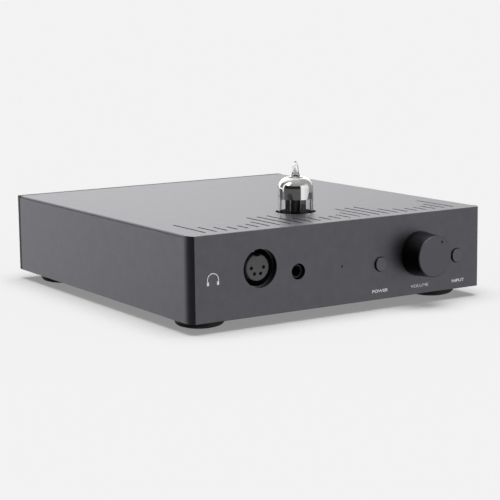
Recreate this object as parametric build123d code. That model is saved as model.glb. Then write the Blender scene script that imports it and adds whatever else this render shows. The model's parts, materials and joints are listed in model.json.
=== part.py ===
from build123d import *
from math import asin, cos, radians, sin, sqrt
import os

# Desktop headphone amplifier and DAC with a socketed miniature valve.
# Millimetres. +X to the right seen from the front, front towards -Y, +Z up.
# The origin is the centre of the bounding box's bottom face, on the surface
# that the feet stand on. The functions below place things in "case" terms:
# x from the middle, y behind the front face, z above the case's underside.

# ---------------------------------------------------------------- case
CASE_WIDTH = 215.0
CASE_DEPTH = 233.0
CASE_HEIGHT = 51.0
FRONT_PANEL_THICKNESS = 7.0
REAR_PANEL_THICKNESS = 4.0
FRONT_EDGE_INSET = 3.0          # how far the panels' curved upright edges run in
REAR_EDGE_INSET = 0.4
SHEET = 2.0                     # cover and bottom plate
COVER_BEND = 1.6
COVER_FLANGE = 10.0             # folded in under the sides, on the bottom plate
CORNER_BLOCK = 10.0

FOOT_RADIUS = 15.0
FOOT_HEIGHT = 6.5
FOOT_EDGE = 3.4
FOOT_INSET_X = 20.7
FOOT_INSET_Y = 25.5
PAD_PROUD = 0.5

# ---------------------------------------------------------------- top
SLOT_COUNT = 26
SLOT_PITCH = 7.34
SLOT_WIDTH = 1.5
SLOT_FRONT = 8.9
SLOT_REAR = 45.8
CLEARING_RADIUS = 24.2          # half-round clearings that the slots stop at
CLEARING_SPACING = 66.1
VALVE_HOLE_RADIUS = 12.7

# ---------------------------------------------------------------- front
XLR_X, XLR_Z = -60.4, 28.3
XLR_HOLE_RADIUS = 11.6
JACK_X, JACK_Z = -33.6, 23.6
JACK_HOLE_RADIUS = 4.85
LED_X, LED_Z = -2.0, 23.4
PINHOLE_RADIUS = 0.75
POWER_X, POWER_Z = 27.3, 21.8
INPUT_X, INPUT_Z = 87.4, 21.4
BUTTON_RADIUS = 4.35
BUTTON_HOLE_RADIUS = 4.65
BUTTON_PROUD = 1.3
EDGE_BREAK = 0.3                # small chamfer on the front panel's long edges
KNOB_X, KNOB_Z = 57.4, 25.5
KNOB_RADIUS = 14.0
KNOB_FACE_RADIUS = 12.8         # the knob narrows towards its face
KNOB_PROUD = 15.5
KNOB_GAP = 0.8
KNOB_POINTER_ANGLE = 31.0       # clockwise from twelve o'clock, seen from the front

# ---------------------------------------------------------------- inside
BOARD = 1.6
MAIN_BOARD_Z = 7.0
MAIN_BOARD_TOP = MAIN_BOARD_Z + BOARD
RAISED_BOARD_Z = 14.0
RAISED_BOARD_TOP = RAISED_BOARD_Z + BOARD
CONTROL_BOARD_Y = 27.0
DAC_BOARD_Z = 17.0
SCREW_RADIUS = 1.5              # M3
SPACER_RADIUS = 3.0

# ---------------------------------------------------------------- valve
VALVE_X, VALVE_Y = 0.0, 51.8
VALVE_RADIUS = 11.1
VALVE_SEAT = 33.0               # top of the socket
VALVE_DOME = 72.8
VALVE_TIP = 82.6
VALVE_WALL = 0.9
VALVE_BASE = 3.0
VALVE_SHOULDER = 7.0
PIN_RADIUS = 0.508
PIN_CIRCLE = 5.95
PIN_LENGTH = 7.0
PIN_COUNT = 9
SEAT_GAP = 0.2

# ---------------------------------------------------------------- rear
RCA_Z = 25.0
RCA_X = (-72.0, -57.0, -31.0, -16.0)
RCA_RADIUS = 4.15
RCA_PROUD = 9.0
USB_X, USB_Z = 34.0, 14.1
DC_X, DC_Z = 80.0, 15.6

# ---------------------------------------------------------------- frame
TOTAL_DEPTH = KNOB_PROUD + CASE_DEPTH + RCA_PROUD
FRONT = KNOB_PROUD - TOTAL_DEPTH / 2
HALF_WIDTH = CASE_WIDTH / 2
INNER_HALF = HALF_WIDTH - SHEET
REAR_INSIDE = CASE_DEPTH - REAR_PANEL_THICKNESS
ROOF = CASE_HEIGHT - SHEET
EPS = 1.0                       # how far cutters run past a face


def at(x, y, z):
    """Location from case coordinates."""
    return Pos(x, FRONT + y, FOOT_HEIGHT + z)


def block(x0, x1, y0, y1, z0, z1):
    """Box between two corners in case coordinates."""
    centre = at((x0 + x1) / 2, (y0 + y1) / 2, (z0 + z1) / 2)
    return centre * Box(x1 - x0, y1 - y0, z1 - z0)


def rod_y(x, z, y0, y1, radius):
    """Cylinder along the depth."""
    return at(x, (y0 + y1) / 2, z) * Rot(90, 0, 0) * Cylinder(radius, y1 - y0)


def rod_z(x, y, z0, z1, radius):
    """Upright cylinder."""
    return at(x, y, (z0 + z1) / 2) * Cylinder(radius, z1 - z0)


def tube_y(x, z, y0, y1, outer, inner):
    return rod_y(x, z, y0, y1, outer) - rod_y(x, z, y0 - EPS, y1 + EPS, inner)


def tube_z(x, y, z0, z1, outer, inner):
    return rod_z(x, y, z0, z1, outer) - rod_z(x, y, z0 - EPS, z1 + EPS, inner)


def cone_y(x, z, y0, y1, radius0, radius1):
    """Cone along the depth, radius0 at y0 and radius1 at y1."""
    return at(x, (y0 + y1) / 2, z) * Rot(-90, 0, 0) * Cone(radius0, radius1, y1 - y0)


def cut(shape, cutters):
    """Take every cutter out of the shape."""
    for cutter in cutters:
        shape = shape - cutter
    return shape


def group(solids):
    return Compound(children=list(solids))


def mirrored(points):
    """The four places that a first-quadrant point has about the case's centre."""
    middle = CASE_DEPTH / 2
    return [(sx * x, middle + sy * (middle - y)) for x, y in points for sx in (-1, 1) for sy in (-1, 1)]


# ---------------------------------------------------------------- case parts
FOOT_PLACES = mirrored([(HALF_WIDTH - FOOT_INSET_X, FOOT_INSET_Y)])
BLOCK_X = INNER_HALF - CORNER_BLOCK / 2
BLOCK_SCREW_Z = (12.0, 40.0)
FRONT_BLOCK_Y = FRONT_PANEL_THICKNESS + CORNER_BLOCK / 2
REAR_BLOCK_Y = REAR_INSIDE - CORNER_BLOCK / 2
COVER_SCREW_X = INNER_HALF - COVER_FLANGE / 2
COVER_SCREW_Y = (50.0, 115.0, 180.0)
BOTTOM_SCREW_PLACES = (
    [(sx * COVER_SCREW_X, y) for sx in (-1, 1) for y in COVER_SCREW_Y]
    + [(sx * BLOCK_X, y) for sx in (-1, 1) for y in (FRONT_BLOCK_Y, REAR_BLOCK_Y)]
)
XLR_SCREWS = [(XLR_X - 9.5, XLR_Z + 12.0), (XLR_X + 9.5, XLR_Z - 12.0)]
XLR_FACE = 4.0                  # depth of the receptacle's flange behind the front face
POT_FACE = 3.0


def panel(y_outer, y_inner, inset):
    """Upright plate whose vertical edges curve in towards its outer face."""
    depth = abs(y_inner - y_outer)
    radius = (depth ** 2 + inset ** 2) / (2 * inset)
    half_angle = asin(depth / radius) / 2
    step = (y_outer - y_inner) / depth
    bow_x = HALF_WIDTH - radius + radius * cos(half_angle)
    bow_y = y_inner + step * radius * sin(half_angle)
    flat = HALF_WIDTH - inset
    outline = [
        Line((-HALF_WIDTH, y_inner), (HALF_WIDTH, y_inner)),
        ThreePointArc((HALF_WIDTH, y_inner), (bow_x, bow_y), (flat, y_outer)),
        Line((flat, y_outer), (-flat, y_outer)),
        ThreePointArc((-flat, y_outer), (-bow_x, bow_y), (-HALF_WIDTH, y_inner)),
    ]
    face = make_face(outline)
    return at(0, 0, 0) * extrude(face, CASE_HEIGHT, dir=(0, 0, 1))


def button_hole(x, z):
    """Hole for a cap, stepped behind for the cap's flange."""
    through = rod_y(x, z, -EPS, FRONT_PANEL_THICKNESS + EPS, BUTTON_HOLE_RADIUS)
    return [through, rod_y(x, z, 4.0, FRONT_PANEL_THICKNESS + EPS, 6.5)]


def front_panel():
    back = FRONT_PANEL_THICKNESS + EPS
    plate = panel(0, FRONT_PANEL_THICKNESS, FRONT_EDGE_INSET)
    plate = chamfer(plate.edges().filter_by(Axis.X).group_by(Axis.Y)[0], EDGE_BREAK)
    cutters = [
        rod_y(XLR_X, XLR_Z, -EPS, back, XLR_HOLE_RADIUS),
        block(XLR_X - 13.2, XLR_X + 13.2, XLR_FACE, back, XLR_Z - 15.7, XLR_Z + 15.7),
        rod_y(JACK_X, JACK_Z, -EPS, back, JACK_HOLE_RADIUS),
        rod_y(LED_X, LED_Z, -EPS, back, PINHOLE_RADIUS),
        rod_y(LED_X, LED_Z, 1.5, back, 1.55),
        rod_y(KNOB_X, KNOB_Z, -EPS, back, 3.5),
        block(KNOB_X - 14, KNOB_X + 14, POT_FACE, back, KNOB_Z - 14, KNOB_Z + 14),
    ]
    cutters += button_hole(POWER_X, POWER_Z) + button_hole(INPUT_X, INPUT_Z)
    cutters += [rod_y(x, z, 1.6, XLR_FACE + EPS, SCREW_RADIUS) for x, z in XLR_SCREWS]
    cutters += [rod_y(s * BLOCK_X, z, 2.5, back, SCREW_RADIUS) for s in (-1, 1) for z in BLOCK_SCREW_Z]
    return cut(plate, cutters)


def rear_panel():
    plate = panel(CASE_DEPTH, REAR_INSIDE, REAR_EDGE_INSET)
    y0, y1 = REAR_INSIDE - EPS, CASE_DEPTH + EPS
    cutters = [rod_y(x, RCA_Z, y0, y1, RCA_RADIUS) for x in RCA_X]
    cutters += [block(USB_X - 6.1, USB_X + 6.1, y0, y1, USB_Z - 5.6, USB_Z + 5.6)]
    cutters += [rod_y(DC_X, DC_Z, y0, y1, 5.6)]
    cutters += [rod_y(s * BLOCK_X, z, y0, y1, SCREW_RADIUS) for s in (-1, 1) for z in BLOCK_SCREW_Z]
    return cut(plate, cutters)


def slot_end(x):
    """Where a vent slot stops: straight across, or at a half-round clearing."""
    end = SLOT_REAR
    for centre in (-CLEARING_SPACING, 0, CLEARING_SPACING):
        if abs(x - centre) < CLEARING_RADIUS:
            end = SLOT_REAR - sqrt(CLEARING_RADIUS ** 2 - (x - centre) ** 2)
    return end


def vent_slots():
    """Round-ended slots, all starting close behind the front panel."""
    cutters = []
    radius = SLOT_WIDTH / 2
    for i in range(SLOT_COUNT):
        x = (i - (SLOT_COUNT - 1) / 2) * SLOT_PITCH
        start, end = SLOT_FRONT + radius, slot_end(x) - radius
        cutters.append(block(x - radius, x + radius, start, end, ROOF - EPS, CASE_HEIGHT + EPS))
        cutters.append(rod_z(x, start, ROOF - EPS, CASE_HEIGHT + EPS, radius))
        cutters.append(rod_z(x, end, ROOF - EPS, CASE_HEIGHT + EPS, radius))
    return cutters


def top_cover():
    """Folded sheet: roof, two sides, and a flange under each side."""
    y0, y1 = FRONT_PANEL_THICKNESS, REAR_INSIDE
    outer = block(-HALF_WIDTH, HALF_WIDTH, y0, y1, 0, CASE_HEIGHT)
    long_edges = outer.edges().filter_by(Axis.Y).group_by(Axis.Z)[-1]
    outer = fillet(long_edges, COVER_BEND)
    shell = outer - block(-INNER_HALF, INNER_HALF, y0 - EPS, y1 + EPS, -EPS, ROOF)
    for side in (-1, 1):
        x0, x1 = sorted((side * (INNER_HALF - COVER_FLANGE), side * INNER_HALF))
        flange = block(x0, x1, y0 + 13, y1 - 13, SHEET, 2 * SHEET)
        shell = shell + flange
    holes = [rod_z(x, y, SHEET - EPS, 2 * SHEET + EPS, SCREW_RADIUS) for x, y in BOTTOM_SCREW_PLACES]
    hole = rod_z(VALVE_X, VALVE_Y, ROOF - EPS, CASE_HEIGHT + EPS, VALVE_HOLE_RADIUS)
    return cut(shell, vent_slots() + [hole] + holes)


def countersunk(x, y, z0, z1):
    """Flat-headed M3 screw, head down at z0."""
    head = at(x, y, z0 + 0.85) * Cone(2.9, SCREW_RADIUS, 1.7)
    return head + rod_z(x, y, z0 + 1.7, z1, SCREW_RADIUS)


MAIN_SPACERS = [(x, y) for x in (-84.0, 84.0) for y in (44.0, 118.0, 178.0)]


def bottom_plate():
    plate = block(-INNER_HALF, INNER_HALF, FRONT_PANEL_THICKNESS, REAR_INSIDE, 0, SHEET)
    holes = [countersunk(x, y, 0, SHEET + EPS) for x, y in BOTTOM_SCREW_PLACES]
    holes += [rod_z(x, y, -EPS, SHEET + EPS, SCREW_RADIUS) for x, y in FOOT_PLACES]
    return cut(plate, holes)


def bottom_screws():
    """Six into the cover's flanges, four into the corner blocks."""
    return group(countersunk(x, y, 0, 2 * SHEET + 2) for x, y in BOTTOM_SCREW_PLACES)


def corner_blocks():
    """Four square posts that tie the panels to the bottom plate."""
    posts = []
    half = CORNER_BLOCK / 2
    for side in (-1, 1):
        for y in (FRONT_BLOCK_Y, REAR_BLOCK_Y):
            x = side * BLOCK_X
            post = block(x - half, x + half, y - half, y + half, SHEET, ROOF - 2)
            bores = [rod_y(x, z, y - half - EPS, y + half + EPS, SCREW_RADIUS) for z in BLOCK_SCREW_Z]
            bores += [rod_z(x, y, SHEET - EPS, 2 * SHEET + 2, SCREW_RADIUS)]
            posts.append(cut(post, bores))
    return group(posts)


def cap_screw_y(x, z, head_y, tip_y):
    """Round-headed M3 screw lying along the depth, with a hex socket."""
    way = 1 if tip_y > head_y else -1
    shank = rod_y(x, z, *sorted((head_y, tip_y)), SCREW_RADIUS)
    head = rod_y(x, z, *sorted((head_y - way * 1.65, head_y)), 2.75)
    hex_face = Rot(90, 0, 0) * extrude(RegularPolygon(1.15, 6), 0.5, both=True)
    return shank + head - at(x, head_y - way * 1.65, z) * hex_face


def front_panel_screws():
    y = FRONT_PANEL_THICKNESS + CORNER_BLOCK
    return group(cap_screw_y(s * BLOCK_X, z, y, 2.5) for s in (-1, 1) for z in BLOCK_SCREW_Z)


def rear_panel_screws():
    y = REAR_INSIDE - CORNER_BLOCK + 1
    return group(cap_screw_y(s * BLOCK_X, z, CASE_DEPTH, y) for s in (-1, 1) for z in BLOCK_SCREW_Z)


# ---------------------------------------------------------------- feet
PAD_OUTER, PAD_INNER = 10.5, 5.0
FOOT_RECESS = 3.6


def feet():
    """Round feet with a rolled lower edge, a screw recess and a pad groove."""
    made = []
    for x, y in FOOT_PLACES:
        body = rod_z(x, y, PAD_PROUD - FOOT_HEIGHT, 0, FOOT_RADIUS)
        body = fillet(body.edges().group_by(Axis.Z)[0], FOOT_EDGE)
        body = body - rod_z(x, y, -EPS - FOOT_HEIGHT, FOOT_RECESS - FOOT_HEIGHT, 3.6)
        body = body - rod_z(x, y, -FOOT_HEIGHT, EPS, SCREW_RADIUS)
        made.append(body - tube_z(x, y, -FOOT_HEIGHT - EPS, 1.5 - FOOT_HEIGHT, PAD_OUTER, PAD_INNER))
    return group(made)


def foot_pads():
    z = -FOOT_HEIGHT
    return group(tube_z(x, y, z, z + 1.5, PAD_OUTER, PAD_INNER) for x, y in FOOT_PLACES)


def foot_screws():
    made = []
    z = FOOT_RECESS - FOOT_HEIGHT
    for x, y in FOOT_PLACES:
        made.append(rod_z(x, y, z - 1.8, z, 2.8) + rod_z(x, y, z, SHEET + 2.4, SCREW_RADIUS))
    return group(made)


# ---------------------------------------------------------------- volume control
KNOB_BACK = -KNOB_GAP
NUT_CAVITY = 9.0
SHAFT_RADIUS = 3.0
SHAFT_TIP = -14.0
HUB_Y = -9.0
SET_SCREW_Y = -11.5
POT_DEPTH = 24.0
NUT_Y = -3.0
WASHER = 0.5


def volume_knob():
    """Turned, slightly tapered knob, hollow behind over the nut, with a dimple near the rim."""
    body = cone_y(KNOB_X, KNOB_Z, -KNOB_PROUD, KNOB_BACK, KNOB_FACE_RADIUS, KNOB_RADIUS)
    body = chamfer(body.edges().group_by(Axis.Y)[0], 0.5)
    angle = radians(KNOB_POINTER_ANGLE)
    dimple_x, dimple_z = KNOB_X + 10.0 * sin(angle), KNOB_Z + 10.0 * cos(angle)
    cutters = [
        rod_y(KNOB_X, KNOB_Z, HUB_Y, EPS, NUT_CAVITY),
        rod_y(KNOB_X, KNOB_Z, SHAFT_TIP, EPS, SHAFT_RADIUS),
        at(dimple_x, -KNOB_PROUD - 0.35, dimple_z) * Sphere(1.0),
        rod_z(KNOB_X, SET_SCREW_Y, KNOB_Z - KNOB_RADIUS - EPS, KNOB_Z - SHAFT_RADIUS + 0.2, SCREW_RADIUS),
    ]
    return cut(body, cutters)


def knob_set_screw():
    """Grub screw that clamps the knob to the shaft, from below."""
    low, high = KNOB_Z - KNOB_RADIUS + 4.0, KNOB_Z - SHAFT_RADIUS
    screw = rod_z(KNOB_X, SET_SCREW_Y, low, high, SCREW_RADIUS)
    return screw - at(KNOB_X, SET_SCREW_Y, low) * extrude(RegularPolygon(0.75, 6), 1.5)


def pot_shaft():
    return rod_y(KNOB_X, KNOB_Z, SHAFT_TIP, 12, SHAFT_RADIUS)


def pot_body():
    """Square dual potentiometer with its threaded bush."""
    case = block(KNOB_X - 13.5, KNOB_X + 13.5, POT_FACE, POT_FACE + POT_DEPTH, KNOB_Z - 13.5, KNOB_Z + 13.5)
    case = chamfer(case.edges().filter_by(Axis.Y), 1.5)
    bush = rod_y(KNOB_X, KNOB_Z, -5.5, POT_FACE + EPS, 3.5)
    return case + bush - rod_y(KNOB_X, KNOB_Z, -5.5 - EPS, 12.2, SHAFT_RADIUS + 0.05)


def pot_nut():
    hexagon = Rot(90, 0, 0) * extrude(RegularPolygon(5.5, 6, major_radius=False), 1.25, both=True)
    nut = at(KNOB_X, NUT_Y + 1.25, KNOB_Z) * hexagon
    return nut - rod_y(KNOB_X, KNOB_Z, NUT_Y - EPS, EPS, 3.5)


def pot_washer():
    return tube_y(KNOB_X, KNOB_Z, -WASHER, 0, 6.0, 3.5)


# ---------------------------------------------------------------- buttons and light
CAP_BACK = 5.3
CAP_FLANGE_RADIUS = 6.0
PLUNGER_RADIUS = 1.75
POWER_SWITCH_Y = 15.0
INPUT_SWITCH_Y = 19.0


def button_cap(x, z):
    """Round cap, slightly proud, with a flange that keeps it in the panel."""
    cap = rod_y(x, z, -BUTTON_PROUD, CAP_BACK, BUTTON_RADIUS)
    cap = fillet(cap.edges().group_by(Axis.Y)[0], 0.4)
    return cap + rod_y(x, z, 4.1, CAP_BACK, CAP_FLANGE_RADIUS)


def plunger(x, z, switch_y):
    """Rod from the cap into the switch."""
    return rod_y(x, z, CAP_BACK, switch_y + 3, PLUNGER_RADIUS)


def switch_body(x, z, switch_y, half):
    """Switch on the control board, bored for its plunger and its travel."""
    case = block(x - half, x + half, switch_y, CONTROL_BOARD_Y, z - half, z + half)
    return case - rod_y(x, z, switch_y - EPS, switch_y + 6.5, PLUNGER_RADIUS + 0.3)


def led():
    """Three-millimetre lamp on the control board, behind the light pipe."""
    body = rod_y(LED_X, LED_Z, 21, CONTROL_BOARD_Y - 1, 1.5) + at(LED_X, 21, LED_Z) * Sphere(1.5)
    return body + rod_y(LED_X, LED_Z, CONTROL_BOARD_Y - 1, CONTROL_BOARD_Y, 1.9)


def light_pipe():
    tip = rod_y(LED_X, LED_Z, 0.3, 2, PINHOLE_RADIUS)
    return tip + rod_y(LED_X, LED_Z, 1.5, 19, 1.55)


def control_board():
    return block(-12, 100, CONTROL_BOARD_Y, CONTROL_BOARD_Y + BOARD, 10, 43)


# ---------------------------------------------------------------- four-pole receptacle
XLR_BARREL = 11.6
XLR_BORE = 9.9
XLR_MOUTH = 11.2
XLR_FLARE = 5.0                 # depth of the widening mouth
XLR_REAR = 26.0
INSERT_RADIUS = 7.9
INSERT_FACE = 2.9
CONTACT_CIRCLE = 4.2
CONTACT_ANGLES = (0, 180, 240, 300)
CONTACT_HOLE = 1.15


def contact_places():
    return [(XLR_X + CONTACT_CIRCLE * cos(radians(a)), XLR_Z + CONTACT_CIRCLE * sin(radians(a))) for a in CONTACT_ANGLES]


def xlr_shell():
    """Flanged metal shell behind the panel, with a flared mouth and a key rib."""
    flange = block(XLR_X - 13, XLR_X + 13, XLR_FACE, XLR_FACE + 3, XLR_Z - 15.5, XLR_Z + 15.5)
    flange = fillet(flange.edges().filter_by(Axis.Y), 3)
    shell = flange + rod_y(XLR_X, XLR_Z, XLR_FACE, XLR_REAR, XLR_BARREL)
    shell = shell - rod_y(XLR_X, XLR_Z, XLR_FACE - EPS, XLR_REAR + EPS, XLR_BORE)
    shell = shell - cone_y(XLR_X, XLR_Z, XLR_FACE, XLR_FACE + XLR_FLARE, XLR_MOUTH, XLR_BORE)
    rib = block(XLR_X - 1.6, XLR_X + 1.6, XLR_FACE + XLR_FLARE, XLR_REAR - 6, XLR_Z + 8.4, XLR_Z + XLR_BORE + 0.5)
    return cut(shell + rib, [rod_y(x, z, XLR_FACE - EPS, 9, SCREW_RADIUS) for x, z in XLR_SCREWS])


def xlr_insert():
    """Moulded insert that carries the four socket contacts."""
    insert = rod_y(XLR_X, XLR_Z, INSERT_FACE, 21, INSERT_RADIUS)
    insert = chamfer(insert.edges().group_by(Axis.Y)[0], 0.4)
    insert = insert - block(XLR_X - 1.9, XLR_X + 1.9, 0, 20.5, XLR_Z + 6.7, XLR_Z + 9)
    insert = insert + rod_y(XLR_X, XLR_Z, 21, 24.5, XLR_BORE)
    return cut(insert, [rod_y(x, z, 0, 30, CONTACT_HOLE) for x, z in contact_places()])


def xlr_contacts():
    """Four tubes that end in solder cups behind the insert."""
    return group(rod_y(x, z, 7, 30, CONTACT_HOLE) - rod_y(x, z, 6, 14, 0.8) for x, z in contact_places())


def xlr_screws():
    return group(rod_y(x, z, 1.6, 7, SCREW_RADIUS) + rod_y(x, z, 7, 8.8, 2.6) for x, z in XLR_SCREWS)


# ---------------------------------------------------------------- headphone jack
JACK_BORE = 3.25
JACK_NOSE = 4.3
JACK_NOSE_FACE = 2.3
JACK_REAR = 37.0


def jack_body():
    """Quarter-inch jack: moulded case, metal-lined nose and a straight bore."""
    y0 = FRONT_PANEL_THICKNESS
    case = block(JACK_X - 8, JACK_X + 8, y0, JACK_REAR, RAISED_BOARD_TOP, JACK_Z + 8)
    case = chamfer(case.edges().filter_by(Axis.Y).group_by(Axis.Z)[-1], 1.2)
    nose = rod_y(JACK_X, JACK_Z, JACK_NOSE_FACE, y0 + EPS, JACK_NOSE)
    nose = chamfer(nose.edges().group_by(Axis.Y)[0], 0.3)
    return case + nose - rod_y(JACK_X, JACK_Z, 0, JACK_REAR - 2, JACK_BORE)


def jack_pins():
    places = [(dx, y) for dx in (-6, 6) for y in (13, 22, 31)]
    return group(block(JACK_X + dx - 0.6, JACK_X + dx + 0.6, y - 0.3, y + 0.3, 11.5, RAISED_BOARD_TOP) for dx, y in places)


def headphone_board():
    """Raised board under the jack, slotted for its pins."""
    board = block(-80, -25, 12, 44, RAISED_BOARD_Z, RAISED_BOARD_TOP)
    return board - jack_pins()


# ---------------------------------------------------------------- valve
def pin_places():
    """Nine of ten equal places on the pin circle, the gap at the rear."""
    angles = [90 + 36 * (i + 1) for i in range(PIN_COUNT)]
    return [(VALVE_X + PIN_CIRCLE * cos(radians(a)), VALVE_Y + PIN_CIRCLE * sin(radians(a))) for a in angles]


def valve_profile(radius, bottom, dome, shoulder, tip_radius, tip):
    """Solid of revolution: straight wall, rounded shoulder, and the sealed tip."""
    shoulder_x, shoulder_z = radius - shoulder, dome - shoulder
    bend_x = shoulder_x + shoulder * cos(radians(45))
    bend_z = shoulder_z + shoulder * sin(radians(45))
    crown = (shoulder_x, dome)
    neck = (tip_radius * 1.3, dome + 1.0)
    tip_side = (tip_radius * 0.85, tip - tip_radius * 0.85)
    tip_bend = (tip_radius * 0.85 * cos(radians(45)), tip - tip_radius * 0.85 * (1 - sin(radians(45))))
    outline = [
        Line((0, bottom), (radius, bottom)),
        Line((radius, bottom), (radius, shoulder_z)),
        ThreePointArc((radius, shoulder_z), (bend_x, bend_z), crown),
        Line(crown, neck),
        Line(neck, tip_side),
        ThreePointArc(tip_side, tip_bend, (0, tip)),
        Line((0, tip), (0, bottom)),
    ]
    return revolve(Plane.XZ * make_face(outline), Axis.Z)


def valve_envelope():
    """Blown glass bulb on a pressed glass base, with the pumping tip sealed on top."""
    low = VALVE_SEAT + SEAT_GAP
    outer = valve_profile(VALVE_RADIUS, low, VALVE_DOME, VALVE_SHOULDER, 2.6, VALVE_TIP)
    base_edge = outer.edges().group_by(Axis.Z)[0]
    outer = chamfer(base_edge, 0.8)
    inner = valve_profile(VALVE_RADIUS - VALVE_WALL, low + VALVE_BASE, VALVE_DOME - VALVE_WALL,
                          VALVE_SHOULDER - VALVE_WALL, 1.7, VALVE_TIP - 1.6)
    bulb = at(VALVE_X, VALVE_Y, 0) * (outer - inner)
    return cut(bulb, [rod_z(x, y, low - EPS, low + VALVE_BASE + EPS, PIN_RADIUS) for x, y in pin_places()])


def valve_pins():
    low = VALVE_SEAT + SEAT_GAP
    return group(rod_z(x, y, low - PIN_LENGTH, low + VALVE_BASE + 2, PIN_RADIUS) for x, y in pin_places())


CAGE_LOW, CAGE_HIGH = 41.0, 62.0
MICA_RADIUS = 9.9
MICA = 0.4
ANODE_X = 3.1
ANODE_HALF = 2.6


def anode_section(x):
    """Rounded box section, open inside for the cathode."""
    outer = block(x - ANODE_HALF, x + ANODE_HALF, VALVE_Y - 4.6, VALVE_Y + 4.6, CAGE_LOW, CAGE_HIGH)
    outer = fillet(outer.edges().filter_by(Axis.Z), 2.0)
    inner_half = ANODE_HALF - 0.8
    return outer - block(x - inner_half, x + inner_half, VALVE_Y - 3.4, VALVE_Y + 3.4, CAGE_LOW - EPS, CAGE_HIGH + EPS)


def valve_anodes():
    return group(anode_section(s * ANODE_X) for s in (-1, 1))


def valve_cathodes():
    """Two oxide-coated sleeves, held by the mica discs at both ends."""
    return group(tube_z(s * ANODE_X, VALVE_Y, CAGE_LOW, CAGE_HIGH, 0.9, 0.6) for s in (-1, 1))


ROD_PLACES = [(x, dy) for x in (-7.6, 0.0, 7.6) for dy in (-5.4, 5.4)]


def valve_support_rods():
    """Wires that tie the mica discs together and carry the getter."""
    made = []
    for x, dy in ROD_PLACES:
        made.append(rod_z(x, VALVE_Y + dy, CAGE_LOW - 2, CAGE_HIGH + 2.5, 0.35))
    return group(made)


def valve_micas():
    """Insulating discs above and below the electrodes."""
    made = []
    for z0 in (CAGE_LOW - MICA, CAGE_HIGH):
        disc = rod_z(VALVE_X, VALVE_Y, z0, z0 + MICA, MICA_RADIUS)
        made.append(cut(disc, [rod_z(x, VALVE_Y + dy, z0 - EPS, z0 + EPS, 0.35) for x, dy in ROD_PLACES]))
    return group(made)


def valve_getter():
    """Ring that was fired to silver the dome, on a short post."""
    ring = at(VALVE_X, VALVE_Y, 66.5) * Torus(3.6, 0.45)
    return ring + rod_z(VALVE_X + 3.6, VALVE_Y, CAGE_HIGH + MICA, 66.5, 0.3)


# ---------------------------------------------------------------- valve socket
def valve_socket():
    """Ceramic nine-pin socket on the raised board."""
    body = rod_z(VALVE_X, VALVE_Y, RAISED_BOARD_TOP, VALVE_SEAT, 10.8)
    body = chamfer(body.edges().group_by(Axis.Z)[-1], 0.8)
    bores = [rod_z(x, y, RAISED_BOARD_TOP - EPS, VALVE_SEAT + EPS, 0.95) for x, y in pin_places()]
    return cut(body, bores + [rod_z(VALVE_X, VALVE_Y, 20, VALVE_SEAT + EPS, 2.2)])


def valve_socket_contacts():
    """Spring sleeves that take the valve's pins."""
    made = []
    for x, y in pin_places():
        sleeve = rod_z(x, y, RAISED_BOARD_TOP, VALVE_SEAT - 0.6, 0.95)
        made.append(sleeve - rod_z(x, y, VALVE_SEAT - PIN_LENGTH - 1.5, VALVE_SEAT, PIN_RADIUS + 0.05))
    return group(made)


def valve_board():
    return block(-22, 22, 34, 70, RAISED_BOARD_Z, RAISED_BOARD_TOP)


# ---------------------------------------------------------------- boards
RAISED_SPACERS = (
    [(x, y) for x in (-19.0, 19.0) for y in (37.0, 67.0)]
    + [(-76.0, 40.0), (-29.0, 41.0)]
)
DAC_SPACERS = [(x, y) for x in (-80.0, -30.0) for y in (128.0, 190.0)]


def main_board():
    board = block(-92, 92, 12, 214, MAIN_BOARD_Z, MAIN_BOARD_TOP)
    return cut(board, [rod_z(x, y, 0, 20, SCREW_RADIUS) for x, y in MAIN_SPACERS])


def dac_board():
    return block(-86, -24, 122, 196, DAC_BOARD_Z, DAC_BOARD_Z + BOARD)


def spacer(x, y, z0, z1):
    """Hexagonal threaded spacer."""
    return at(x, y, z0) * extrude(RegularPolygon(SPACER_RADIUS, 6), z1 - z0)


def board_spacers():
    made = [spacer(x, y, SHEET, MAIN_BOARD_Z) - rod_z(x, y, SHEET + 1, 20, SCREW_RADIUS) for x, y in MAIN_SPACERS]
    made += [spacer(x, y, MAIN_BOARD_TOP, RAISED_BOARD_Z) for x, y in RAISED_SPACERS]
    made += [spacer(x, y, MAIN_BOARD_TOP, DAC_BOARD_Z) for x, y in DAC_SPACERS]
    return group(made)


def board_screws():
    made = []
    for x, y in MAIN_SPACERS:
        shank = rod_z(x, y, SHEET + 1.5, MAIN_BOARD_TOP, SCREW_RADIUS)
        made.append(shank + rod_z(x, y, MAIN_BOARD_TOP, MAIN_BOARD_TOP + 2, 2.75))
    return group(made)


# ---------------------------------------------------------------- components on the boards
def chips():
    """Converter, receiver and amplifier packages."""
    top = DAC_BOARD_Z + BOARD
    made = [block(x - 5, x + 5, y - 5, y + 5, top, top + 1.6) for x, y in ((-68, 145), (-45, 160), (-68, 178))]
    made += [block(x - 2.5, x + 2.5, 98, 102, MAIN_BOARD_TOP, MAIN_BOARD_TOP + 1.5) for x in (-20, -8, 4, 16)]
    return group(made)


def filter_capacitors():
    """Cans that smooth the supply, in two rows."""
    made = []
    for x in (30, 52, 74):
        for y in (140, 162):
            can = rod_z(x, y, MAIN_BOARD_TOP, MAIN_BOARD_TOP + 32, 8)
            made.append(fillet(can.edges().group_by(Axis.Z)[-1], 1.0))
    return group(made)


def film_capacitors():
    """Boxed coupling capacitors beside the valve."""
    made = []
    for x in (-46, -34, 34, 46):
        box = block(x - 4, x + 4, 56, 76, MAIN_BOARD_TOP, MAIN_BOARD_TOP + 15)
        made.append(fillet(box.edges().filter_by(Axis.Z), 1.0))
    return group(made)


SINK_X = (-52.0, 52.0)
SINK_Y = 92.0
FIN_COUNT = 9


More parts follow.
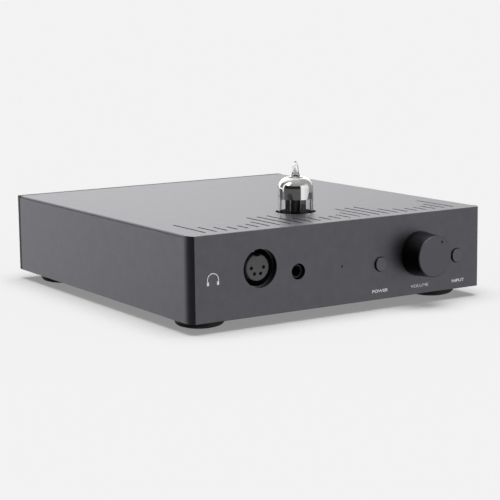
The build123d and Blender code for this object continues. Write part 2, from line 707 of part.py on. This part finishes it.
def heat_sinks():
    """Combed extrusions that stand on the main board."""
    made = []
    low, high = MAIN_BOARD_TOP, MAIN_BOARD_TOP + 34
    for x in SINK_X:
        sink = block(x - 26, x + 26, SINK_Y - 2, SINK_Y + 2, low, high)
        for i in range(FIN_COUNT):
            fin_x = x - 25 + i * 50 / (FIN_COUNT - 1)
            sink = sink + block(fin_x - 0.8, fin_x + 0.8, SINK_Y, SINK_Y + 18, low, high)
        made.append(sink)
    return group(made)


def power_transistors():
    """Flat packages clipped to the front of each heat sink."""
    made = []
    for x in SINK_X:
        for dx in (-14, 14):
            made.append(block(x + dx - 5, x + dx + 5, SINK_Y - 6.5, SINK_Y - 2, 14, 30))
    return group(made)


def relays():
    """Muting and power relays."""
    return group(block(x - 7.5, x + 7.5, 186, 196, MAIN_BOARD_TOP, MAIN_BOARD_TOP + 12) for x in (-10, 10, 58, 78))


def inductors():
    """Ring chokes in the supply, lying on the board."""
    return group(at(x, 118, MAIN_BOARD_TOP + 3) * Torus(6.5, 3.0) for x in (-5, 15))


# ---------------------------------------------------------------- rear connectors
RCA_BORE = 3.3
HOUSING_FRONT = 207.0


def rca_shells():
    """Plated shells of the phono sockets, each with a collar on the panel."""
    made = []
    for x in RCA_X:
        shell = rod_y(x, RCA_Z, REAR_INSIDE, CASE_DEPTH + RCA_PROUD, RCA_RADIUS)
        shell = shell + rod_y(x, RCA_Z, CASE_DEPTH, CASE_DEPTH + 1, 5.6)
        made.append(shell - rod_y(x, RCA_Z, REAR_INSIDE - EPS, CASE_DEPTH + RCA_PROUD + EPS, RCA_BORE))
    return group(made)


def rca_insulators():
    return group(tube_y(x, RCA_Z, REAR_INSIDE, CASE_DEPTH + 8, RCA_BORE, 2.1) for x in RCA_X)


def rca_contacts():
    return group(tube_y(x, RCA_Z, REAR_INSIDE, CASE_DEPTH + 7, 2.1, 1.65) for x in RCA_X)


def rca_housings():
    """Moulded blocks that carry the phono sockets in pairs."""
    made = []
    for left, right in (RCA_X[:2], RCA_X[2:]):
        made.append(block(left - 6, right + 6, HOUSING_FRONT, REAR_INSIDE, MAIN_BOARD_TOP, RCA_Z + 7))
    return group(made)


def dc_inlet():
    """Barrel power inlet: bored block with a centre pin."""
    case = block(DC_X - 7, DC_X + 7, 210, REAR_INSIDE, MAIN_BOARD_TOP, DC_Z + 6)
    case = case + rod_y(DC_X, DC_Z, REAR_INSIDE - EPS, CASE_DEPTH - 0.3, 5.55)
    case = case - rod_y(DC_X, DC_Z, CASE_DEPTH - 10, CASE_DEPTH + EPS, 3.15)
    return case + rod_y(DC_X, DC_Z, CASE_DEPTH - 11, CASE_DEPTH - 1, 1.0)


def usb_socket():
    """Square data socket with its tongue."""
    half_x, half_z = 6.0, 5.5
    rear = CASE_DEPTH + 0.4
    case = block(USB_X - half_x, USB_X + half_x, 214, rear, USB_Z - half_z, USB_Z + half_z)
    mouth = block(USB_X - 4.25, USB_X + 4.25, rear - 9, rear + EPS, USB_Z - 3.9, USB_Z + 3.9)
    mouth = chamfer(mouth.edges().filter_by(Axis.Y).group_by(Axis.Z)[-1], 1.6)
    return case - mouth + block(USB_X - 2.8, USB_X + 2.8, rear - 9.5, rear - 1.2, USB_Z - 1.2, USB_Z + 1.6)


NODES = {
    "front_panel": front_panel,
    "top_cover": top_cover,
    "rear_panel": rear_panel,
    "bottom_plate": bottom_plate,
    "corner_blocks": corner_blocks,
    "front_panel_screws": front_panel_screws,
    "rear_panel_screws": rear_panel_screws,
    "bottom_screws": bottom_screws,
    "feet": feet,
    "foot_pads": foot_pads,
    "foot_screws": foot_screws,
    "volume_knob": volume_knob,
    "knob_set_screw": knob_set_screw,
    "pot_shaft": pot_shaft,
    "pot_body": pot_body,
    "pot_nut": pot_nut,
    "pot_washer": pot_washer,
    "power_button_cap": lambda: button_cap(POWER_X, POWER_Z),
    "power_plunger": lambda: plunger(POWER_X, POWER_Z, POWER_SWITCH_Y),
    "power_switch": lambda: switch_body(POWER_X, POWER_Z, POWER_SWITCH_Y, 6.0),
    "input_button_cap": lambda: button_cap(INPUT_X, INPUT_Z),
    "input_plunger": lambda: plunger(INPUT_X, INPUT_Z, INPUT_SWITCH_Y),
    "input_switch": lambda: switch_body(INPUT_X, INPUT_Z, INPUT_SWITCH_Y, 3.5),
    "led": led,
    "light_pipe": light_pipe,
    "control_board": control_board,
    "xlr_shell": xlr_shell,
    "xlr_insert": xlr_insert,
    "xlr_contacts": xlr_contacts,
    "xlr_screws": xlr_screws,
    "jack_body": jack_body,
    "jack_pins": jack_pins,
    "headphone_board": headphone_board,
    "valve_envelope": valve_envelope,
    "valve_pins": valve_pins,
    "valve_anodes": valve_anodes,
    "valve_cathodes": valve_cathodes,
    "valve_support_rods": valve_support_rods,
    "valve_micas": valve_micas,
    "valve_getter": valve_getter,
    "valve_socket": valve_socket,
    "valve_socket_contacts": valve_socket_contacts,
    "valve_board": valve_board,
    "main_board": main_board,
    "dac_board": dac_board,
    "board_spacers": board_spacers,
    "board_screws": board_screws,
    "chips": chips,
    "filter_capacitors": filter_capacitors,
    "film_capacitors": film_capacitors,
    "heat_sinks": heat_sinks,
    "power_transistors": power_transistors,
    "relays": relays,
    "inductors": inductors,
    "rca_shells": rca_shells,
    "rca_insulators": rca_insulators,
    "rca_contacts": rca_contacts,
    "rca_housings": rca_housings,
    "dc_inlet": dc_inlet,
    "usb_socket": usb_socket,
}

os.makedirs("parts", exist_ok=True)
for node, make in NODES.items():
    export_step(make(), "parts/" + node + ".step")
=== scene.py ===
import json
import math

import bmesh
import bpy
from mathutils import Matrix, Vector


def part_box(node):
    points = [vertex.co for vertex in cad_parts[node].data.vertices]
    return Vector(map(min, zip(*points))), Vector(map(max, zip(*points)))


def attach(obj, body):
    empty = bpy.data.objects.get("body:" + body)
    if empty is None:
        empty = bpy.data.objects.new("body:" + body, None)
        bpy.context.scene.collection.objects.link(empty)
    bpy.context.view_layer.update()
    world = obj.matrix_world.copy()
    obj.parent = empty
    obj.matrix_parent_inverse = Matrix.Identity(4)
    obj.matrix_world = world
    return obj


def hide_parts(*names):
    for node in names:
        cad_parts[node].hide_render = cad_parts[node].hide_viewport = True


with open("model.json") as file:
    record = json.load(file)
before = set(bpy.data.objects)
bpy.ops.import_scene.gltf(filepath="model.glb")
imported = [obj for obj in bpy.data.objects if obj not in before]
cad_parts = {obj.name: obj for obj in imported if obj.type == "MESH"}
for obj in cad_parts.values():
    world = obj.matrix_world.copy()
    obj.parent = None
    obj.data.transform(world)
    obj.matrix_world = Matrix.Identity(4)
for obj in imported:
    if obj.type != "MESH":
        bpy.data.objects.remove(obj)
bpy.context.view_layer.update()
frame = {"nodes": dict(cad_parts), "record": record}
nodes = frame["nodes"]

MM = 0.001
PANEL_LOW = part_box("front_panel")[0]
FRONT = PANEL_LOW.y             # the front face
BASE = PANEL_LOW.z              # the case's underside


def spot(x, y, z):
    """Point in metres from case millimetres: x from the middle, y behind the front, z above the base."""
    return Vector((x * MM, FRONT + y * MM, BASE + z * MM))


# ---------------------------------------------------------------- node helpers
def new_material(name):
    material = bpy.data.materials.new(name)
    material.use_nodes = True
    tree = material.node_tree
    return material, tree, tree.nodes["Principled BSDF"]


def add_node(tree, kind, **settings):
    node = tree.nodes.new(kind)
    for key, value in settings.items():
        if key in node.inputs.keys():
            node.inputs[key].default_value = value
        else:
            setattr(node, key, value)
    return node


def noise(tree, scale, detail=3.0):
    """Noise in object space; scale is features per metre."""
    coords = add_node(tree, "ShaderNodeTexCoord")
    texture = add_node(tree, "ShaderNodeTexNoise", Scale=scale, Detail=detail)
    tree.links.new(coords.outputs["Object"], texture.inputs["Vector"])
    return texture.outputs["Fac"]


def calculate(tree, operation, *values):
    """Math node; each value is a number or a socket."""
    node = add_node(tree, "ShaderNodeMath", operation=operation)
    for socket, value in zip(node.inputs, values):
        if isinstance(value, (int, float)):
            socket.default_value = value
        else:
            tree.links.new(value, socket)
    return node.outputs[0]


def map_range(tree, value, start=(0.0, 1.0), end=(0.0, 1.0), kind="LINEAR"):
    """Map a value from one (low, high) range to another, and hold it inside."""
    node = add_node(tree, "ShaderNodeMapRange", interpolation_type=kind)
    for socket, limit in zip(("From Min", "From Max", "To Min", "To Max"), (*start, *end)):
        node.inputs[socket].default_value = limit
    tree.links.new(value, node.inputs["Value"])
    return node.outputs["Result"]


def blend(tree, factor, first, second):
    """Mix two colours; each is an RGB tuple, a grey level or a socket."""
    node = add_node(tree, "ShaderNodeMix", data_type="RGBA")
    tree.links.new(factor, node.inputs["Factor"])
    for socket, source in (("A", first), ("B", second)):
        if isinstance(source, (int, float)):
            source = (source, source, source)
        if isinstance(source, tuple):
            node.inputs[socket].default_value = (*source, 1)
        else:
            tree.links.new(source, node.inputs[socket])
    return node.outputs["Result"]


MICROMETRE = 0.000001
FINE_GRAIN = 9000
GRAIN_STRENGTH = 0.35
DRIFT_SCALE = 0.02              # of the grain's own scale
ROUGH_SWING = 0.12


def tinted(colour, amount):
    return tuple(channel * amount for channel in colour)


def add_grain(tree, shader, grain, rough, depth):
    """Grain in the bump and the roughness: features per metre, (low, high), and depth in micrometres."""
    speck = noise(tree, grain)
    tree.links.new(map_range(tree, speck, end=rough), shader.inputs["Roughness"])
    node = add_node(tree, "ShaderNodeBump", Strength=GRAIN_STRENGTH, Distance=depth * MICROMETRE)
    tree.links.new(speck, node.inputs["Height"])
    tree.links.new(node.outputs["Normal"], shader.inputs["Normal"])


def surface(name, colour, metallic, rough, grain, depth, tone=0.12, **constants):
    """Material with fine grain, and a tone that drifts slowly by the share given in tone."""
    material, tree, shader = new_material(name)
    drift = noise(tree, grain * DRIFT_SCALE, detail=4.0)
    shade = blend(tree, drift, tinted(colour, 1 - tone), tinted(colour, 1 + tone))
    tree.links.new(shade, shader.inputs["Base Color"])
    add_grain(tree, shader, grain, (rough * (1 - ROUGH_SWING), rough * (1 + ROUGH_SWING)), depth)
    shader.inputs["Metallic"].default_value = metallic
    for key, value in constants.items():
        shader.inputs[key.replace("_", " ")].default_value = value
    return material


# ---------------------------------------------------------------- materials
# colour, metallic, roughness, grain in features per metre, bump depth in micrometres
ANODISED = (0.136, 0.134, 0.149)
MATERIALS = {
    "case": surface("anodised_case", ANODISED, 1.0, 0.42, FINE_GRAIN, 20),
    "case_dark": surface(
        "black_anodised", (0.02, 0.02, 0.022), 0.0, 0.55, FINE_GRAIN, 20, Specular_IOR_Level=0.25,
    ),
    "case_trim": surface("anodised_trim", ANODISED, 1.0, 0.36, FINE_GRAIN, 20),
    "base_metal": surface("mill_aluminium", (0.62, 0.62, 0.63), 1.0, 0.38, 4000, 20),
    "steel_screw": surface("black_oxide", (0.10, 0.10, 0.105), 1.0, 0.42, FINE_GRAIN, 20),
    "bright_steel": surface("zinc_plate", (0.70, 0.70, 0.69), 1.0, 0.30, 6000, 10),
    "brass_gold": surface("gold_plate", (0.83, 0.60, 0.24), 1.0, 0.18, 6000, 10),
    "foot_rubber": surface(
        "pad_rubber", (0.012, 0.012, 0.013), 0.0, 0.8, 5000, 40, Specular_IOR_Level=0.2,
    ),
    "foot_plastic": surface(
        "foot_shell", (0.012, 0.012, 0.013), 0.0, 0.5, 7000, 20, Specular_IOR_Level=0.3,
    ),
    "connector_black": surface("black_moulding", (0.018, 0.018, 0.019), 0.0, 0.45, 7000, 20),
    "connector_metal": surface("black_plate", (0.34, 0.34, 0.35), 1.0, 0.32, 7000, 20),
    "insert_grey": surface("grey_moulding", (0.095, 0.095, 0.10), 0.0, 0.5, 7000, 20),
    "nickel": surface("nickel_plate", (0.66, 0.64, 0.60), 1.0, 0.22, 6000, 10),
    "board": surface("solder_mask", (0.012, 0.06, 0.03), 0.0, 0.35, 3000, 20),
    "chip_black": surface("chip_epoxy", (0.02, 0.02, 0.02), 0.0, 0.55, 7000, 20),
    "capacitor_sleeve": surface("shrink_sleeve", (0.02, 0.03, 0.07), 0.0, 0.28, 3000, 10),
    "film_box": surface("capacitor_box", (0.42, 0.03, 0.02), 0.0, 0.35, 4000, 10),
    "relay_case": surface("relay_case", (0.55, 0.55, 0.50), 0.0, 0.35, 4000, 10),
    "ferrite": surface("enamelled_winding", (0.35, 0.13, 0.04), 0.4, 0.35, 2500, 50),
    "led_lens": surface(
        "smoked_lens", (0.02, 0.02, 0.022), 0.0, 0.15, 4000, 10, Transmission_Weight=0.2,
    ),
    "valve_glass": surface(
        "valve_glass", (1.0, 1.0, 1.0), 0.0, 0.02, 600, 4, tone=0.0, Transmission_Weight=1.0, IOR=1.5,
    ),
    "valve_metal": surface("carbonised_anode", (0.05, 0.05, 0.053), 0.9, 0.45, 6000, 40),
    "valve_mica": surface(
        "mica_sheet", (0.62, 0.58, 0.48), 0.0, 0.25, 3000, 20, Transmission_Weight=0.4,
    ),
    "ceramic": surface("glazed_ceramic", (0.75, 0.74, 0.70), 0.0, 0.22, 3000, 10),
}
SILVERING = surface("getter_silvering", (0.84, 0.84, 0.83), 1.0, 0.05, 900, 2, tone=0.04)
WHITE_INK = surface("white_ink", (0.90, 0.90, 0.90), 0.0, 0.5, FINE_GRAIN, 4, tone=0.05)

# painted shade: the knob's turned side gets a much darker copy of the case colour, standing in for the
# shade it sits in; the face keeps near the case colour
KNOB_PAINTED_SHADE = tinted(ANODISED, 0.2)
KNOB_FACE = tinted(ANODISED, 0.90)
KNOB_EDGE = (0.35, 0.65)        # forward part of the normal, from turned side to flat face


def knob_with_painted_shade():
    """Anodised like the case on the flat face, with painted shade round the turned side: a much darker
    copy of the same colour there.
    """
    material, tree, shader = new_material("anodised_knob_painted_shade")
    coords = add_node(tree, "ShaderNodeTexCoord")
    split = add_node(tree, "ShaderNodeSeparateXYZ")
    tree.links.new(coords.outputs["Normal"], split.inputs["Vector"])
    facing = map_range(tree, calculate(tree, "ABSOLUTE", split.outputs["Y"]), start=KNOB_EDGE)
    tree.links.new(blend(tree, facing, KNOB_PAINTED_SHADE, KNOB_FACE), shader.inputs["Base Color"])
    add_grain(tree, shader, FINE_GRAIN, (0.32, 0.42), 20)
    shader.inputs["Metallic"].default_value = 1.0
    return material


def dress_cad_nodes():
    """Give every CAD node the material of its slot."""
    for part in frame["record"]["subparts"]:
        target = nodes[part["node"]]
        target.data.materials.clear()
        target.data.materials.append(MATERIALS[part["material_slot"]])
    # the knob gets its own material, with painted shade on its turned side
    nodes["volume_knob"].data.materials[0] = knob_with_painted_shade()


# ---------------------------------------------------------------- shapes
def add_mesh(name, points, faces, material, sharp=35.0):
    mesh = bpy.data.meshes.new(name)
    mesh.from_pydata(points, [], faces)
    mesh.validate()
    mesh.shade_smooth()
    mesh.set_sharp_from_angle(angle=math.radians(sharp))
    mesh.materials.append(material)
    piece = bpy.data.objects.new(name, mesh)
    bpy.context.scene.collection.objects.link(piece)
    return piece


def lathe(name, profile, centre, material, segments=96, sharp=35.0):
    """Turn a closed profile of (radius, height) in millimetres about an upright axis.

    A point at radius 0 becomes one shared pole.
    """
    points, rings = [], []
    for radius, height in profile:
        if radius < 1e-6:
            rings.append([len(points)] * segments)
            points.append((centre.x, centre.y, centre.z + height * MM))
            continue
        rings.append(list(range(len(points), len(points) + segments)))
        for i in range(segments):
            angle = 2 * math.pi * i / segments
            points.append((
                centre.x + radius * MM * math.cos(angle),
                centre.y + radius * MM * math.sin(angle),
                centre.z + height * MM,
            ))
    faces = []
    for ring, following in zip(rings, rings[1:] + rings[:1]):
        for i in range(segments):
            j = (i + 1) % segments
            corners = [ring[i], ring[j], following[j], following[i]]
            unique = list(dict.fromkeys(corners))
            if len(unique) > 2:
                faces.append(unique)
    return add_mesh(name, points, faces, material, sharp)


def arc(centre_x, centre_z, radius, start, end, steps):
    """Points on a circular arc of a profile, in degrees."""
    angles = [math.radians(start + (end - start) * i / steps) for i in range(steps + 1)]
    return [(centre_x + radius * math.cos(a), centre_z + radius * math.sin(a)) for a in angles]


# ---------------------------------------------------------------- valve, in case millimetres
GLASS_LOW, GLASS_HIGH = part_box("valve_envelope")
VALVE_CENTRE = Vector(((GLASS_LOW.x + GLASS_HIGH.x) / 2, (GLASS_LOW.y + GLASS_HIGH.y) / 2, BASE))
GLASS_FOOT = (GLASS_LOW.z - BASE) / MM
GLASS_TIP = (GLASS_HIGH.z - BASE) / MM
BULB_RADIUS = (GLASS_HIGH.x - GLASS_LOW.x) / 2 / MM
NECK_HEIGHT = 9.8
DOME = GLASS_TIP - NECK_HEIGHT
SHOULDER = 7.0                  # radius between the side and the dome
GLASS_WALL = 0.9
FOOT_CORNER = 0.8
FOOT_GLASS = 3.2                # the pressed foot is thicker than the wall
SILVER_EDGE = 59.2              # lower edge of the mirror inside the dome
SILVER_GAP = 0.02
SILVER_THICKNESS = 0.08

# the sealed tip: radius, and height above the dome
NECK_OUTSIDE = [
    (4.4, 0.1), (3.0, 0.6), (2.4, 1.6), (2.15, 3.0), (2.0, 4.6),
    (1.8, 6.2), (1.5, 7.6), (1.0, 8.8), (0.5, 9.6), (0.0, NECK_HEIGHT),
]
NECK_INSIDE = [
    (3.6, -0.85), (2.4, -0.4), (1.85, 0.8), (1.65, 2.4), (1.55, 4.6),
    (1.4, 6.0), (1.15, 7.4), (0.7, 8.4), (0.0, 8.9),
]


def shoulder_arc(offset, start, end, steps):
    """The bulb's rounded shoulder, set inwards by offset."""
    return arc(BULB_RADIUS - SHOULDER, DOME - SHOULDER, SHOULDER - offset, start, end, steps)


def dome_profile(offset, foot, neck):
    """Half outline of the bulb from its foot up to the axis, set inwards by offset."""
    radius, straight, steps = BULB_RADIUS - offset, DOME - SHOULDER - foot, 8
    side = [(radius, foot + straight * i / steps) for i in range(steps)]
    return side + shoulder_arc(offset, 0, 84, 22) + [(x, DOME + z) for x, z in neck]


def silver_profile(offset):
    """One face of the silvering, from its lower edge up over the shoulder."""
    radius = BULB_RADIUS - offset
    side = [(radius, SILVER_EDGE), (radius, SILVER_EDGE + 3), (radius, DOME - SHOULDER)]
    return side + shoulder_arc(offset, 4, 88, 24)


def make_valve():
    """Blown bulb with its pressed foot and pumping tip, and the silvering inside the dome."""
    outer = [(0.0, GLASS_FOOT), (BULB_RADIUS - FOOT_CORNER, GLASS_FOOT)]
    outer += dome_profile(0.0, GLASS_FOOT + FOOT_CORNER, NECK_OUTSIDE)
    floor_inside = GLASS_FOOT + FOOT_GLASS
    inner = [(0.0, floor_inside)] + dome_profile(GLASS_WALL, floor_inside, NECK_INSIDE)
    bulb = lathe("valve_bulb", outer + inner[::-1], VALVE_CENTRE, MATERIALS["valve_glass"])
    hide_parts("valve_envelope")
    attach(bulb, "valve")

    outside = GLASS_WALL + SILVER_GAP
    layer = silver_profile(outside) + silver_profile(outside + SILVER_THICKNESS)[::-1]
    silver = lathe("valve_silvering", layer, VALVE_CENTRE, SILVERING)
    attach(silver, "valve")


# ---------------------------------------------------------------- print on the front, in millimetres
INK_THICKNESS = 0.02
INK_ROOT = 0.005                # how far it reaches into the panel
CAPITAL_HEIGHT = 1.9
LABEL_Z = 4.3
MERGE_DISTANCE = 0.000002       # metres
LABEL_WEIGHT = 0.018            # thickens the strokes, for letters of size 1
LABELS = {"POWER": (27.0, 12.0), "VOLUME": (57.6, 14.0), "INPUT": (88.6, 10.0)}     # middle and width
PICTOGRAM_X = -92.6
PICTOGRAM_Z = 25.1
BAND_OUTER = 3.9
BAND_INNER = 3.45
BAND_DROP = 0.2                 # the head band's centre, below the pictogram's middle
BAND_END = 1.2                  # and its ends
CUP_SIDES = (2.7, 4.1)
CUP_ENDS = (-3.4, -1.3)


def turn_outwards(mesh, merge=0.0):
    """Make the normals face out, after joining points closer than merge, in metres."""
    edit = bmesh.new()
    edit.from_mesh(mesh)
    if merge:
        bmesh.ops.remove_doubles(edit, verts=edit.verts, dist=merge)
    bmesh.ops.recalc_face_normals(edit, faces=edit.faces)
    edit.to_mesh(mesh)
    edit.free()


def make_labels():
    """Plain function words under the controls, each a thin layer of ink of a set width and height."""
    for word, (middle, width) in LABELS.items():
        letters = bpy.data.curves.new("word", "FONT")
        letters.body = word
        letters.extrude = 0.5
        letters.offset = LABEL_WEIGHT
        letters.resolution_u = 4
        holder = bpy.data.objects.new("word", letters)
        bpy.context.scene.collection.objects.link(holder)
        bpy.context.view_layer.update()
        mesh = bpy.data.meshes.new_from_object(holder)
        bpy.data.objects.remove(holder)
        low = [min(vertex.co[axis] for vertex in mesh.vertices) for axis in range(3)]
        high = [max(vertex.co[axis] for vertex in mesh.vertices) for axis in range(3)]
        for vertex in mesh.vertices:
            across, rise, out = ((vertex.co[i] - low[i]) / (high[i] - low[i]) for i in range(3))
            x = middle + (across - 0.5) * width
            y = INK_ROOT - out * (INK_THICKNESS + INK_ROOT)
            vertex.co = spot(x, y, LABEL_Z + rise * CAPITAL_HEIGHT)
        turn_outwards(mesh, merge=MERGE_DISTANCE)
        mesh.materials.clear()
        mesh.materials.append(WHITE_INK)
        piece = bpy.data.objects.new("print_" + word.lower(), mesh)
        bpy.context.scene.collection.objects.link(piece)
        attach(piece, "case")


def make_pictogram():
    """Plain outline of a pair of headphones, at the left of the front: a band and two cups."""
    x, z = PICTOGRAM_X, PICTOGRAM_Z
    band = []
    for radius, start, end in ((BAND_OUTER, 0, 180), (BAND_INNER, 180, 0)):
        side = 1 if start < end else -1
        band.append((x + side * radius, z - BAND_END))
        band += arc(x, z - BAND_DROP, radius, start, end, 24)
        band.append((x - side * radius, z - BAND_END))
    loops = [band]
    low, high = (z + end for end in CUP_ENDS)
    for side in (-1, 1):
        inner, outer = sorted(x + side * edge for edge in CUP_SIDES)
        loops.append([(inner, high), (inner, low), (outer, low), (outer, high)])

    points, faces = [], []
    for loop in loops:
        base, count = len(points), len(loop)
        for depth in (-INK_THICKNESS, INK_ROOT):
            points += [tuple(spot(across, depth, up)) for across, up in loop]
        faces.append(list(range(base, base + count)))
        faces.append(list(range(base + 2 * count - 1, base + count - 1, -1)))
        for i in range(count):
            j = (i + 1) % count
            faces.append([base + i, base + count + i, base + count + j, base + j])
    piece = add_mesh("print_headphones", points, faces, WHITE_INK, sharp=20.0)
    turn_outwards(piece.data)
    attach(piece, "case")


# ---------------------------------------------------------------- camera
CAMERA_PLACE = (-547.00, -751.27, 185.49)   # case millimetres
CAMERA_AZIMUTH = -32.557                    # degrees, looking along +Y at zero
CAMERA_DIP = 9.285                          # degrees below the horizon
CAMERA_ROLL = -0.634
CAMERA_LENS = 112.661
CAMERA_SENSOR = 36.0


def make_camera():
    """Camera at the front left, a little above the case."""
    azimuth, dip, roll = (math.radians(angle) for angle in (CAMERA_AZIMUTH, CAMERA_DIP, CAMERA_ROLL))
    level = math.cos(dip)
    ahead = Vector((-math.sin(azimuth) * level, math.cos(azimuth) * level, -math.sin(dip)))
    right = ahead.cross(Vector((0, 0, 1))).normalized()
    up = right.cross(ahead)
    rolled_right = math.cos(roll) * right + math.sin(roll) * up
    rolled_up = math.cos(roll) * up - math.sin(roll) * right
    data = bpy.data.cameras.new("camera")
    data.lens = CAMERA_LENS
    data.sensor_width = CAMERA_SENSOR
    data.clip_end = 500
    camera = bpy.data.objects.new("camera", data)
    turn = Matrix((rolled_right, rolled_up, -ahead)).transposed().to_4x4()
    camera.matrix_world = Matrix.Translation(spot(*CAMERA_PLACE)) @ turn
    bpy.context.scene.collection.objects.link(camera)
    bpy.context.scene.camera = camera


# ---------------------------------------------------------------- studio
BACKDROP = 0.88
DARK = 0.02
DARK_BELOW = 0.1
# brightness round the studio in bands of height: degrees from the front towards +X, and level
ABOVE = [
    (-180, 1.8), (-170, 1.6), (-160, 0.15), (-134, 0.15), (-130, 1.2), (-122, 1.2), (-118, DARK),
    (0, DARK), (6, 1.0), (30, 0.95), (45, 0.85), (62, 0.85), (72, 0.35), (110, 0.35), (132, 1.3),
    (150, 1.85), (180, 1.85),
]
BELOW = [
    (-180, 0.4), (-168, 1.5), (-156, 2.2), (-146, 1.45), (-128, 1.1), (-118, DARK_BELOW),
    (0, DARK_BELOW), (6, 0.95), (30, 0.88), (45, 0.74), (62, 0.72), (72, 0.3), (112, 0.3),
    (150, 0.25), (180, 0.3),
]
NEAR_FLOOR = [(-180, 0.1), (-118, 0.05), (0, 0.1), (6, 0.6), (62, 0.6), (72, 0.2), (180, 0.2)]
# higher up, one soft box at the left
HIGH = [
    (-180, 1.0), (-165, 1.0), (-150, 0.3), (-128, 0.3), (-122, 2.6), (-88, 2.6), (-82, 0.3),
    (120, 0.4), (145, 1.0), (180, 1.0),
]
# heights, in degrees above the horizon, over which one band gives way to the next
FLOOR_TO_BELOW = (-24, -5)
BELOW_TO_ABOVE = (-3, 3)
ABOVE_TO_HIGH = (28, 38)
HIGH_TO_TOP = (55, 76)
LIGHT_TO_TOP = (58, 80)
TOP_MIRRORED = 0.45             # the overhead light, as gloss sees it
TOP_LIGHT = 9.0                 # and as it lights what isn't glossy
SIDE_LIGHT = 0.2


def round_horizon(tree, turn, stops):
    """Grey levels round the horizon, from a 0..1 turn."""
    node = add_node(tree, "ShaderNodeValToRGB")
    elements = node.color_ramp.elements
    for index, (degrees, level) in enumerate(stops):
        if index in (0, len(stops) - 1):
            stop = elements[min(index, len(elements) - 1)]
        else:
            stop = elements.new((degrees + 180) / 360)
        stop.color = (level, level, level, 1)
    tree.links.new(turn, node.inputs["Fac"])
    return node.outputs["Color"]


def stack(tree, rise, heights, lower, upper):
    """One band below the given heights and another above them, in degrees."""
    limits = tuple(math.sin(math.radians(height)) for height in heights)
    return blend(tree, map_range(tree, rise, start=limits, kind="SMOOTHSTEP"), lower, upper)


def make_studio():
    """Soft boxes painted on the world, unseen by the camera, which sees one pale tone."""
    world = bpy.data.worlds.new("studio")
    world.use_nodes = True
    tree = world.node_tree
    coords = add_node(tree, "ShaderNodeTexCoord")
    split = add_node(tree, "ShaderNodeSeparateXYZ")
    tree.links.new(coords.outputs["Generated"], split.inputs["Vector"])
    rise = split.outputs["Z"]
    ahead = calculate(tree, "MULTIPLY", split.outputs["Y"], -1)
    angle = calculate(tree, "ARCTAN2", split.outputs["X"], ahead)
    turn = map_range(tree, angle, start=(-math.pi, math.pi))

    painted = round_horizon(tree, turn, NEAR_FLOOR)
    for heights, stops in ((FLOOR_TO_BELOW, BELOW), (BELOW_TO_ABOVE, ABOVE), (ABOVE_TO_HIGH, HIGH)):
        painted = stack(tree, rise, heights, painted, round_horizon(tree, turn, stops))
    mirrored = stack(tree, rise, HIGH_TO_TOP, painted, TOP_MIRRORED)
    lighting = stack(tree, rise, LIGHT_TO_TOP, SIDE_LIGHT, TOP_LIGHT)

    # the plain backdrop shows to the camera, and through glass that it looks into directly
    path = add_node(tree, "ShaderNodeLightPath")
    unreflected = calculate(tree, "LESS_THAN", path.outputs["Glossy Depth"], 0.5)
    through_glass = calculate(tree, "MULTIPLY", path.outputs["Is Transmission Ray"], unreflected)
    plain = calculate(tree, "MAXIMUM", path.outputs["Is Camera Ray"], through_glass)
    dome = blend(tree, unreflected, mirrored, lighting)
    tree.links.new(blend(tree, plain, dome, BACKDROP), tree.nodes["Background"].inputs["Color"])
    bpy.context.scene.world = world


FLOOR_HALF = 200.0              # metres
FLOOR_TONE = 0.40
FLOOR_GLOW = 0.25


def make_floor():
    """Wide pale floor that takes the shadow and isn't mirrored in the object."""
    mesh = bpy.data.meshes.new("floor")
    corners = [(-1, -1), (1, -1), (1, 1), (-1, 1)]
    mesh.from_pydata([(x * FLOOR_HALF, y * FLOOR_HALF, 0) for x, y in corners], [], [(0, 1, 2, 3)])
    material, tree, shader = new_material("floor")
    shader.inputs["Base Color"].default_value = (FLOOR_TONE, FLOOR_TONE, FLOOR_TONE, 1)
    shader.inputs["Roughness"].default_value = 0.9
    shader.inputs["Specular IOR Level"].default_value = 0.0
    shader.inputs["Emission Color"].default_value = (1, 1, 1, 1)
    shader.inputs["Emission Strength"].default_value = FLOOR_GLOW
    mesh.materials.append(material)
    floor = bpy.data.objects.new("floor", mesh)
    floor.visible_glossy = False
    floor.visible_transmission = False
    bpy.context.scene.collection.objects.link(floor)


bpy.context.scene.view_settings.view_transform = "Standard"
dress_cad_nodes()
make_valve()
make_labels()
make_pictogram()
make_camera()
make_studio()
make_floor()
